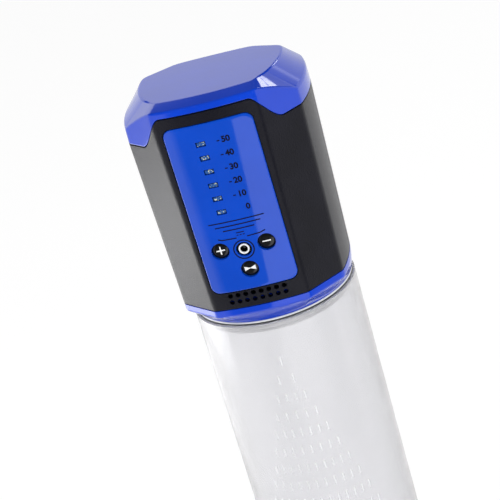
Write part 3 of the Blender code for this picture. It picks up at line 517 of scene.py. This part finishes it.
# ------------------------------------------------------------- casing pieces
def make_cap():
    edge, crease = cap_edge_heights(), crease_heights()
    middle = ring_at(TOP_OUTLINE * 0.4, HEAD_TOP)
    rings = [
        middle,
        ring_at(TOP_OUTLINE, HEAD_TOP),
        ring_at(inset(UPPER_OUTLINE, 0.0004), crease),
        body_ring(edge),
        body_ring(edge, LIP_DEPTH),
        body_ring(edge - LIP_REACH, LIP_DEPTH),
        body_ring(edge - LIP_REACH, LIP_DEPTH + LIP_THICKNESS),
        body_ring(crease - 0.0026, LIP_DEPTH + LIP_THICKNESS),
        ring_at(inset(TOP_OUTLINE, 0.0012), HEAD_TOP - WALL),
    ]
    sizes = (0, 0.0007, 0.0009, 0.0003, 0.0002, 0.0002, 0.0002, 0.0005, 0)
    bm = bmesh.new()
    skin_solid(bm, soften(rings, sizes))
    add_piece("cap_skin", bm, BLUE, "pump_head", ("top_cap",))


def circle_ring(radius, height):
    """A circle with one point at each of the head's stations."""
    points = FOOT_OUTLINE / np.linalg.norm(FOOT_OUTLINE, axis=1)[:, None] * radius
    return ring_at(points, height)


def make_ring():
    foot = BODY_FOOT - GAP
    rings = [
        body_ring(foot),
        body_ring(foot - 0.0026),
        circle_ring(0.0319, RIM + 0.0022),
        circle_ring(0.0314, RING_FOOT),
        circle_ring(RING_BORE, RING_FOOT),
        circle_ring(RING_BORE, foot - 0.0020),
        body_ring(foot - 0.0010, LIP_DEPTH + LIP_THICKNESS),
        body_ring(foot + LIP_REACH, LIP_DEPTH + LIP_THICKNESS),
        body_ring(foot + LIP_REACH, LIP_DEPTH),
        body_ring(foot, LIP_DEPTH),
        body_ring(foot),
    ]
    sizes = (0, 0.0006, 0.0005, 0.0003, 0.0002, 0.0002, 0.0003, 0.0002, 0.0002, 0.0002, 0)
    bm = bmesh.new()
    skin(bm, soften(rings, sizes))
    add_piece("ring_skin", bm, BLUE, "pump_head", ("base_ring",))


def wall_piece(name, first, last, node):
    """Part of the body's wall between two stations, with softened edges."""
    edge = cap_edge_heights() - GAP
    turn_in = 0.002
    rings = [body_ring(BODY_FOOT + turn_in, WALL), body_ring(BODY_FOOT, WALL),
             body_ring(BODY_FOOT), body_ring(edge), body_ring(edge, WALL),
             body_ring(edge - turn_in, WALL)]
    rings = soften(rings, (0, 0.0002, 0.0003, 0.0003, 0.0002, 0))
    chosen = [i % STATIONS for i in range(first, first + (last - first) % STATIONS + 1)]
    bm = bmesh.new()
    skin_solid(bm, [[ring[i] for ring in rings] for i in chosen])
    return add_piece(name, bm, BLACK, "pump_head", (node,), sharp=40.0)


def panel_outline(half_width, foot, top, corner, depth):
    """Columns of the panel's rounded outline, as x, low and high heights."""
    half, low, high = half_width - depth, foot + depth, top - depth
    radius = max(corner - depth, 0.0004)
    columns = []
    for i in range(CORNER_STEPS + 1):
        angle = math.radians(90 / CORNER_STEPS * i)
        columns.append((-half + radius * (1 - math.cos(angle)), radius * (1 - math.sin(angle))))
    inner = half - radius
    columns += [(-inner + 2 * inner * i / SPAN_STEPS, 0.0) for i in range(1, SPAN_STEPS)]
    columns += [(-x, rise) for x, rise in reversed(columns[:CORNER_STEPS + 1])]
    return [(x, low + rise, high - rise) for x, rise in columns]


def bowed_panel(name, size, layers, material, body, replaces=()):
    """A plate on the bowed front, skinned through layers of (edge inset, depth)."""
    bm = bmesh.new()
    rings = []
    for edge_inset, offset in layers:
        columns = panel_outline(*size, edge_inset)
        ring = [(x, front_surface(x, high) + offset, high) for x, _, high in columns]
        ring += [(x, front_surface(x, low) + offset, low) for x, low, _ in reversed(columns)]
        rings.append(ring)
    verts = skin(bm, rings)
    count = len(rings[0])
    for ring in (verts[0], verts[-1]):
        for i in range(count // 2 - 1):
            bm.faces.new((ring[i], ring[i + 1], ring[count - 2 - i], ring[count - 1 - i]))
    return add_piece(name, bm, material, body, replaces)


def round_tool(name, radius, place, length):
    """A rod along Y to cut with."""
    return lathe(name, hoop(0.0, radius, 0.0, length), BLACK, None, place, "Y", 48)


def box_tool(name, low, high):
    """A box between two corners to cut with."""
    bm = bmesh.new()
    size, middle = Vector(high) - Vector(low), (Vector(high) + Vector(low)) / 2
    bmesh.ops.create_cube(bm, size=1.0)
    bmesh.ops.scale(bm, vec=size, verts=bm.verts)
    bmesh.ops.translate(bm, vec=middle, verts=bm.verts)
    return add_piece(name, bm, BLACK, None)


def make_walls():
    shell = wall_piece("front_wall", RIGHT_SPLIT, LEFT_SPLIT, "front_shell")
    size = (PANEL_HALF_WIDTH + GAP, PANEL_FOOT - GAP, PANEL_TOP + GAP, PANEL_CORNER + GAP)
    pocket = bowed_panel("pocket_tool", size, ((0.0, -0.003), (0.0, 0.006)), BLACK, None)
    cut(shell, pocket)
    for row, height in enumerate(VENT_HEIGHTS):
        for column in range(VENT_COLUMNS):
            x = (column - (VENT_COLUMNS - 1) / 2) * VENT_PITCH
            cut(shell, round_tool(f"vent_{row}_{column}", VENT_RADIUS, (x, -0.042, height), 0.012))
    rear = wall_piece("rear_wall", LEFT_SPLIT, RIGHT_SPLIT, "rear_shell")
    cut(rear, box_tool("parting_tool", (-0.040, -0.0060, BODY_FOOT - 0.002),
                       (0.040, PARTING_Y + GAP, SECTION_TOP)))
    for i, (x, height) in enumerate(CASE_SCREWS):
        cut(rear, round_tool(f"pocket_{i}", SCREW_POCKET, (x, 0.0300, RIM + height), 0.006))
    for wall in (shell, rear):
        smooth(wall.data, 40.0)


def make_joint_strips():
    """Thin strips inside the wall that close the seam between its halves from view."""
    low, high = BODY_FOOT + 0.004, CAP_EDGE_SIDE - 0.004
    outer, inner = WALL + 0.0001, WALL + 0.0007
    rings = [body_ring(low, outer), body_ring(high, outer), body_ring(high, inner),
             body_ring(low, inner)]
    for side, split in (("right", RIGHT_SPLIT), ("left", LEFT_SPLIT)):
        bm = bmesh.new()
        skin_solid(bm, [[ring[split + k] for ring in rings] for k in range(-3, 4)])
        add_piece(f"{side}_joint_strip", bm, INNER, "pump_head")


# ------------------------------------------------------------------- display
def make_panel():
    layers = ((0.0, 0.0012), (0.0, 0.0002), (0.00006, 0.0), (0.0002, -0.00016),
              (0.00042, -PANEL_PROUD), (0.0012, -PANEL_PROUD))
    panel = bowed_panel("panel_face", PANEL_SIZE, layers, PANEL_BLUE, "pump_head",
                        ("display_panel",))
    for name, (x, height) in BUTTONS.items():
        cut(panel, round_tool(f"{name}_hole", BUTTON_RADIUS + GAP, (x, TOOL_FRONT, height),
                              TOOL_BACK - TOOL_FRONT))
    cut(panel, round_tool("jack_hole", JACK_HOLE, (0.0, TOOL_FRONT, JACK_HEIGHT),
                          TOOL_BACK - TOOL_FRONT))
    for i, height in enumerate(WINDOW_HEIGHTS):
        half_x, half_z = WINDOW_SIZE[0] / 2 + GAP, WINDOW_SIZE[1] / 2 + GAP
        cut(panel, box_tool(f"slot_{i}", (WINDOW_X - half_x, TOOL_FRONT, height - half_z),
                            (WINDOW_X + half_x, TOOL_BACK, height + half_z)))
    smooth(panel.data, 30.0)


def make_windows():
    for i, height in enumerate(WINDOW_HEIGHTS):
        face = front_surface(WINDOW_X, height) - WINDOW_SINK
        half_x, half_z = WINDOW_SIZE[0] / 2, WINDOW_SIZE[1] / 2
        size = (half_x, height - half_z, height + half_z, 0.0003)
        bm = bmesh.new()
        rings = []
        for depth, y in ((0.0, WINDOW_BACK), (0.0, face + 0.0002), (0.0002, face)):
            columns = panel_outline(*size, depth)
            ring = [(WINDOW_X + x, y, high) for x, _, high in columns]
            ring += [(WINDOW_X + x, y, low) for x, low, _ in reversed(columns)]
            rings.append(ring)
        skin_solid(bm, rings)
        add_piece(f"window_lens_{i + 1}", bm, LAMP, "pump_head",
                  (f"scale_window_{i + 1}",))


def on_panel(x, height):
    """A point of a printed mark on the panel's face."""
    return (x, front_surface(x, height) - PANEL_PROUD - INK, height)


def printed_line(name, points, width=INK_LINE):
    """A thin printed line through points of (x, height) on the panel."""
    spots = []
    for (x0, z0), (x1, z1) in zip(points[:-1], points[1:]):
        steps = max(1, round(math.hypot(x1 - x0, z1 - z0) / 0.001))
        spots += [(x0 + (x1 - x0) * k / steps, z0 + (z1 - z0) * k / steps) for k in range(steps)]
    spots.append(points[-1])
    low, high = [], []
    for i, (x, z) in enumerate(spots):
        x0, z0 = spots[max(i - 1, 0)]
        x1, z1 = spots[min(i + 1, len(spots) - 1)]
        length = math.hypot(x1 - x0, z1 - z0)
        nx, nz = -(z1 - z0) / length * width / 2, (x1 - x0) / length * width / 2
        low.append(on_panel(x - nx, z - nz))
        high.append(on_panel(x + nx, z + nz))
    bm = bmesh.new()
    skin(bm, [low, high], closed=False)
    add_piece(name, bm, INK_BLACK, "pump_head")


def printed_ring(name, x, height, radius, width):
    bm = bmesh.new()
    inner, outer = [], []
    for i in range(64):
        angle = 2 * math.pi * i / 64
        for ring, r in ((inner, radius - width / 2), (outer, radius + width / 2)):
            ring.append(on_panel(x + r * math.cos(angle), height + r * math.sin(angle)))
    skin(bm, [inner, outer])
    add_piece(name, bm, INK_BLACK, "pump_head")


def printed_text(name, words, x, height, size):
    """Plain numbers, right-aligned at x and centred on height."""
    curve = bpy.data.curves.new(name, "FONT")
    curve.body = words
    curve.size = size
    curve.align_x = "RIGHT"
    curve.align_y = "CENTER"
    curve.offset = size * 0.035
    curve.resolution_u = 6
    holder = link_object(name, curve)
    graph = bpy.context.evaluated_depsgraph_get()
    mesh = bpy.data.meshes.new_from_object(holder.evaluated_get(graph))
    bpy.data.objects.remove(holder)
    for vertex in mesh.vertices:
        vertex.co = on_panel(x + vertex.co.x, height + vertex.co.y)
    mesh.materials.clear()
    mesh.materials.append(INK_BLACK)
    obj = link_object(name, mesh)
    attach(obj, "pump_head")


def make_prints():
    """Scale numbers and dashes, ruled lines, and the sign for direct current."""
    numbers = ("50", "40", "30", "20", "10", "0")
    for number, height in zip(numbers, WINDOW_HEIGHTS):
        printed_text(f"number_{number}", number, 0.0068, height + 0.0001, 0.0031)
        if number != "0":
            printed_line(f"dash_{number}", [(0.0020, height), (0.0030, height)], 0.00040)
    rules = ((0.0465, -0.0101, 0.0106), (0.0448, -0.0081, 0.0089), (0.0431, -0.0055, 0.0062))
    for i, (height, left, right) in enumerate(rules):
        printed_line(f"rule_{i + 1}", [(left, RIM + height), (right, RIM + height)])
    printed_line("bracket_left", [(-0.0082, RIM + 0.04025), (-0.0068, RIM + 0.0397),
                                  (-0.0014, RIM + 0.0396)])
    printed_line("bracket_right", [(0.0025, RIM + 0.0395), (0.0073, RIM + 0.03965),
                                   (0.0094, RIM + 0.04025)])
    printed_ring("jack_mark", 0.0, JACK_HEIGHT, 0.0037, 0.00045)
    sign_left, sign_line = -0.0011, 0.00036
    printed_line("supply_bar", [(sign_left, RIM + 0.0416), (0.0019, RIM + 0.0416)], sign_line)
    for i in range(3):
        left = sign_left + i * 0.00115
        printed_line(f"supply_dash_{i + 1}", [(left, RIM + 0.0406), (left + 0.0007, RIM + 0.0406)],
                     sign_line)


def make_buttons():
    """Domed buttons in blue wells, with plain signs on them."""
    for name, (x, height) in BUTTONS.items():
        face = front_surface(abs(x), height) - PANEL_PROUD
        rim, edge = BUTTON_RADIUS, BUTTON_RECESS
        back, collar, foot = BUTTON_BACK - face, rim + 0.0006, 0.0008
        dome = [(DOME_RADIUS * math.sin(math.radians(a)),
                 edge - DOME_RISE * math.cos(math.radians(a))) for a in range(0, 91, 9)]
        profile = dome + [(rim, edge + 0.0003), (rim, back - foot), (collar, back - foot),
                          (collar, back), (0.0, back)]
        lathe(f"{name}_cap", profile, GLOSS_BLACK, f"{name}_button",
              (x, face, height), "Y", 64, (f"{name}_button",))
        inner, outer = rim + 0.00022, rim + 0.00028
        well = ((inner, 0.00006), (outer, 0.00004), (outer, 0.0014), (inner, 0.0014))
        lathe(f"{name}_well", well, PANEL_BLUE, "pump_head",
              (x, face, height), "Y", 64)
    arm, stroke = 0.0016, 0.00024
    button_sign("plus", ((-arm, arm, stroke, stroke), (-stroke, stroke, arm, arm)))
    button_sign("minus", ((-arm, arm, stroke, stroke),))
    button_sign("valve", ((-0.0021, 0.0, 0.0009, 0.00008), (0.0, 0.0021, 0.00008, 0.0009)))


def button_sign(name, bars):
    """White printed bars on a button: left, right, half height at left and at right."""
    x, height = BUTTONS[name]
    face = front_surface(abs(x), height) - PANEL_PROUD + BUTTON_RECESS
    bm = bmesh.new()
    for i, (left, right, half_left, half_right) in enumerate(bars):
        rows = []
        for side in (-1.0, -0.75, -0.5, -0.25, 0.0, 0.25, 0.5, 0.75, 1.0):
            row = []
            for k in range(9):
                t = k / 8
                px = left + (right - left) * t
                pz = side * (half_left + (half_right - half_left) * t)
                reach = min(math.hypot(px, pz) / DOME_RADIUS, 1.0)
                y = face - DOME_RISE * math.sqrt(1 - reach ** 2) - 0.00003 - 0.000005 * i
                row.append((x + px, y, height + pz))
            rows.append(row)
        skin(bm, rows, closed=False)
    add_piece(f"{name}_sign", bm, INK_WHITE, f"{name}_button")


def make_jack():
    """Direct-current inlet: a black barrel with a plated mouth and a dark throat."""
    face = front_surface(0.0, JACK_HEIGHT) - PANEL_PROUD
    place = (0.0, face, JACK_HEIGHT)
    depth = JACK_BACK - face
    barrel = ((0.00205, 0.0016), (0.0027, 0.0016), (0.0027, depth), (0.0, depth),
              (0.0, depth - 0.0016), (0.00205, depth - 0.0016))
    lathe("jack_barrel", rounded(barrel, 0.0001), GLOSS_BLACK, "pump_head", place, "Y",
          64, ("dc_jack",))
    mouth, back = 0.0010, depth - 0.0020
    sleeve = rounded(hoop(0.0014, 0.0020, 0.0002, mouth), 0.00018)
    lathe("jack_mouth", sleeve, PLATED, "pump_head", place, "Y", 64, ("jack_sleeve",))
    throat = hoop(0.00145, 0.00198, mouth, back)
    lathe("jack_throat", throat, GLOSS_BLACK, "pump_head", place, "Y", 64)


# ------------------------------------------------------------------ cylinder
def make_cylinder():
    tube = hoop(TUBE_BORE, TUBE_RADIUS, TUBE_FOOT, RIM)
    lathe("tube_body", rounded(tube, 0.0004), TUBE_CLEAR, "cylinder",
          segments=256, replaces=("clear_tube",))
    mouth, brim, collar, lip = 0.0240, 0.0415, 0.0328, 0.0297
    floor, collar_top, lip_top = 0.0017, 0.0150, 0.0090
    seal = ((mouth, 0.0), (brim, 0.0), (brim, 0.0035), (collar + 0.0025, 0.0060),
            (collar + 0.0022, collar_top), (collar, collar_top), (collar, floor), (lip, floor),
            (lip, lip_top), (lip - 0.0022, lip_top), (mouth, 0.0035))
    lathe("seal_body", rounded(seal, 0.0007), SILICONE, "cylinder",
          replaces=("end_seal",))


def make_rim():
    """Thin dark seal on the cylinder's rim, and above it a white band that paints the highlight on
    the ring's lower edge.
    """
    seal = hoop(0.0293, 0.0315, RIM + 0.00005, RIM + 0.0006)
    lathe("rim_gasket", rounded(seal, 0.00015), SILICONE, "pump_head",
          replaces=("rim_seal",))
    # Painted highlight: a white band where the blue ring's lower edge catches the light.
    highlight_band = hoop(0.0295, 0.0315, RIM + 0.00065, RIM + 0.00135)
    lathe("rim_highlight_band", rounded(highlight_band, 0.0002), RIM_HIGHLIGHT_WHITE, "pump_head")


def make_tick_field():
    """Faint moulded dashes that widen downwards on the cylinder's front."""
    bm = bmesh.new()
    radius = TUBE_RADIUS + 0.00002
    half_wide, half_tall = TICK_HALF_SIZE
    for row in range(TICK_ROWS):
        height = TICK_TOP - row * TICK_PITCH
        half = 0.0003 + row * TICK_WIDENING
        count = 1 + round(row * 1.45)
        for k in range(count):
            across = 0.0 if count == 1 else -half + 2 * half * k / (count - 1)
            low, high = [], []
            for side in (-half_wide, half_wide):
                angle = (across + side) / radius
                x, y = radius * math.sin(angle), -radius * math.cos(angle)
                low.append((x, y, height - half_tall))
                high.append((x, y, height + half_tall))
            skin(bm, [low, high], closed=False)
    add_piece("tick_field", bm, RELIEF, "cylinder")


# --------------------------------------------------------------------- valve
def make_spring():
    """The release valve's spring, which in the pump flattens as the plunger goes in; here it is a
    fixed coil.
    """
    low, high = (Vector(corner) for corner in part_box("plunger_spring"))
    wire, turns, per_turn, sides = 0.00025, 3, 24, 8
    foot = Vector(((low.x + high.x) / 2, (low.y + high.y) / 2, low.z + wire))
    radius, rise = (high.x - low.x) / 2 - wire, high.z - low.z - 2 * wire
    up = Vector((0.0, 0.0, 1.0))
    rings = []
    for i in range(turns * per_turn + 1):
        angle = 2 * math.pi * i / per_turn
        out = Vector((math.cos(angle), math.sin(angle), 0.0))
        middle = foot + out * radius + up * (rise * i / (turns * per_turn))
        ring = []
        for k in range(sides):
            around = 2 * math.pi * k / sides
            ring.append(middle + (out * math.cos(around) + up * math.sin(around)) * wire)
        rings.append(ring)
    bm = bmesh.new()
    skin_solid(bm, rings)
    spring = add_piece("spring_coil", bm, STEEL, "pump_head", ("plunger_spring",),
                       sharp=60.0)
    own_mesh(spring)


# ---------------------------------------------------------- carried-over CAD
NODE_MATERIALS = {
    "main_board": BOARD, "battery_cell": WRAP, "pump_diaphragm": SILICONE,
    "base_plate": SPIGOT, "spigot_o_ring": SPIGOT, "inlet_filter": PALE, "drive_eccentric": PALE,
    "pump_motor": STEEL, "motor_shaft": STEEL, "valve_plunger": STEEL,
    "pump_hose": HOSE, "sensor_hose": HOSE, "valve_hose": HOSE,
}


def dress_nodes():
    """Materials for the pieces that the CAD model gives as they are."""
    for name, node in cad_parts.items():
        material = NODE_MATERIALS.get(name, STEEL if "screw" in name else INNER)
        node.data.materials.clear()
        node.data.materials.append(material)


# --------------------------------------------------------------------- studio
def area_light(name, place, target, size, power):
    """A soft lamp that neither the camera nor a clear piece shows."""
    light = bpy.data.lights.new(name, "AREA")
    light.shape = "RECTANGLE"
    light.size, light.size_y = size
    light.energy = power
    obj = link_object(name, light)
    obj.location = place
    obj.rotation_euler = (Vector(target) - Vector(place)).to_track_quat("-Z", "Y").to_euler()
    obj.visible_camera = False
    obj.visible_transmission = False
    return obj


def node_math(nodes, link, operation, first, second):
    node = nodes.new("ShaderNodeMath")
    node.operation = operation
    for socket, source in zip(node.inputs, (first, second)):
        if isinstance(source, float):
            socket.default_value = source
        else:
            link(source, socket)
    return node.outputs["Value"]


def smooth_fade(nodes, link, value, start, end, low=0.0, high=1.0):
    """A soft step from low to high while the value goes from start to end."""
    fade = nodes.new("ShaderNodeMapRange")
    fade.interpolation_type = "SMOOTHSTEP"
    for name, number in (("From Min", start), ("From Max", end), ("To Min", low), ("To Max", high)):
        fade.inputs[name].default_value = number
    link(value, fade.inputs["Value"])
    return fade.outputs["Result"]


def vector_math(nodes, link, operation, vector, other=(0.0, 0.0, 0.0)):
    node = nodes.new("ShaderNodeVectorMath")
    node.operation = operation
    link(vector, node.inputs[0])
    node.inputs[1].default_value = other
    return node


def dot_with(nodes, link, vector, direction):
    return vector_math(nodes, link, "DOT_PRODUCT", vector, direction).outputs["Value"]


def lit_side(nodes, link, vector):
    """1 to the left and the rear of the studio, 0 to the front and the right."""
    level = vector_math(nodes, link, "MULTIPLY", vector, (1.0, 1.0, 0.0))
    flat = vector_math(nodes, link, "NORMALIZE", level.outputs["Vector"]).outputs["Vector"]
    left = smooth_fade(nodes, link, dot_with(nodes, link, flat, (-0.875, 0.485, 0.0)), -0.05, 0.05)
    rear = smooth_fade(nodes, link, dot_with(nodes, link, flat, (0.0, 1.0, 0.0)), -0.30, -0.10)
    return node_math(nodes, link, "MAXIMUM", left, rear)


def by_ray(nodes, link, otherwise, glossy, direct):
    """One value for reflections, one for the camera and clear pieces, one for the rest."""
    rays = nodes.new("ShaderNodeLightPath")
    straight = node_math(nodes, link, "MAXIMUM", rays.outputs["Is Camera Ray"],
                         rays.outputs["Is Transmission Ray"])
    value = otherwise
    for factor, chosen in ((rays.outputs["Is Glossy Ray"], glossy), (straight, direct)):
        mix = nodes.new("ShaderNodeMix")
        link(factor, mix.inputs["Factor"])
        for socket, source in (("A", value), ("B", chosen)):
            if isinstance(source, float):
                mix.inputs[socket].default_value = source
            else:
                link(source, mix.inputs[socket])
        value = mix.outputs["Result"]
    return value


def make_floor():
    """White floor whose reflection is bright near the object and on the lit side."""
    bm = bmesh.new()
    bmesh.ops.create_grid(bm, x_segments=1, y_segments=1, size=6.0)
    mesh = bpy.data.meshes.new("floor")
    bm.to_mesh(mesh)
    bm.free()
    material, nodes, link, shader = new_material("floor_white")
    shader.inputs["Base Color"].default_value = (0.18, 0.18, 0.18, 1.0)
    shader.inputs["Roughness"].default_value = 0.9
    shader.inputs["Specular IOR Level"].default_value = 0.1
    shader.inputs["Emission Color"].default_value = (1.0, 1.0, 1.0, 1.0)
    place = nodes.new("ShaderNodeTexCoord").outputs["Object"]
    reach = vector_math(nodes, link, "LENGTH", place)
    near = smooth_fade(nodes, link, reach.outputs["Value"], 0.24, 0.36, 1.0, 0.0)
    sheen = node_math(nodes, link, "MAXIMUM", lit_side(nodes, link, place), near)
    sheen = node_math(nodes, link, "MULTIPLY", sheen, FLOOR_SHEEN)
    link(by_ray(nodes, link, FLOOR_BOUNCE, sheen, FLOOR_GLOW), shader.inputs["Emission Strength"])
    mesh.materials.append(material)
    floor = link_object("floor", mesh)


def make_world():
    """White backdrop; in reflections it is bright low down behind, and dim overhead."""
    world = bpy.data.worlds.new("studio")
    bpy.context.scene.world = world
    world.use_nodes = True
    nodes, link = world.node_tree.nodes, world.node_tree.links.new
    background = nodes["Background"]
    background.inputs["Color"].default_value = (1.0, 1.0, 1.0, 1.0)
    around = nodes.new("ShaderNodeTexCoord").outputs["Generated"]
    height = dot_with(nodes, link, around, (0.0, 0.0, 1.0))
    low_down = smooth_fade(nodes, link, height, 0.36, 0.40, 1.0, 0.0)
    glow = node_math(nodes, link, "MULTIPLY", low_down, lit_side(nodes, link, around))
    glossy = node_math(nodes, link, "ADD", glow, DARK_SHEEN)
    link(by_ray(nodes, link, AMBIENT, glossy, 1.0), background.inputs["Strength"])


def make_lights():
    """Two soft lamps, cards on the floor, and a window behind that the gloss mirrors."""
    target = (0.0, 0.0, 0.25)
    key = area_light("key", (-0.55, -0.55, 0.95), target, (0.8, 0.8), 6.2)
    fill = area_light("fill", (0.75, -0.60, 0.50), target, (1.1, 1.1), 7.2)
    for lamp in (key, fill):
        lamp.visible_glossy = False
    flat_card("left_card", (-0.62, 0.12), (0.44, 0.46), 0.0, 3.0)
    flat_card("near_card", (-0.30, 0.04), (0.20, 0.56), 0.0, 0.30)
    flat_card("front_card", (0.213, -0.575), (0.40, 0.60), 12.0, 1.0)
    area_light("rear_box", (0.56, 1.06, 0.87), target, (0.42, 0.26), 0.28)
    for i, (x, z) in enumerate(((0.31, 0.83), (0.43, 0.83), (0.31, 0.91), (0.43, 0.91))):
        area_light(f"window_pane_{i + 1}", (x, 1.05, z), target, (0.10, 0.06), 0.11)


def flat_card(name, place, size, turn, power):
    """A lamp that lies on the floor and shines upwards."""
    card = area_light(name, (*place, 0.01), (0.0, 0.0, 1.0), size, power)
    card.rotation_euler = (math.pi, 0.0, math.radians(turn))


def make_camera():
    """The camera as it was fitted to the outline of the head and the cylinder."""
    camera = bpy.data.cameras.new("camera")
    camera.lens = 112.755
    camera.sensor_width = 36.0
    obj = link_object("camera", camera)
    right = Vector((0.96259861, 0.06573279, -0.26283666))
    up = Vector((0.21283134, 0.41684397, 0.88371032))
    back = Vector((0.16765062, -0.9065982, 0.38726343))
    place = Matrix((right, up, back)).transposed().to_4x4()
    place.translation = (0.09688, -0.55205, RIM + 0.25289)
    obj.matrix_world = place
    bpy.context.scene.camera = obj


# ----------------------------------------------------------------------- make
bpy.context.scene.view_settings.view_transform = "Standard"
make_camera()
make_cap()
make_ring()
make_walls()
make_joint_strips()
make_panel()
make_windows()
make_prints()
make_buttons()
make_jack()
make_cylinder()
make_rim()
make_tick_field()
make_spring()
dress_nodes()
make_floor()
make_world()
make_lights()
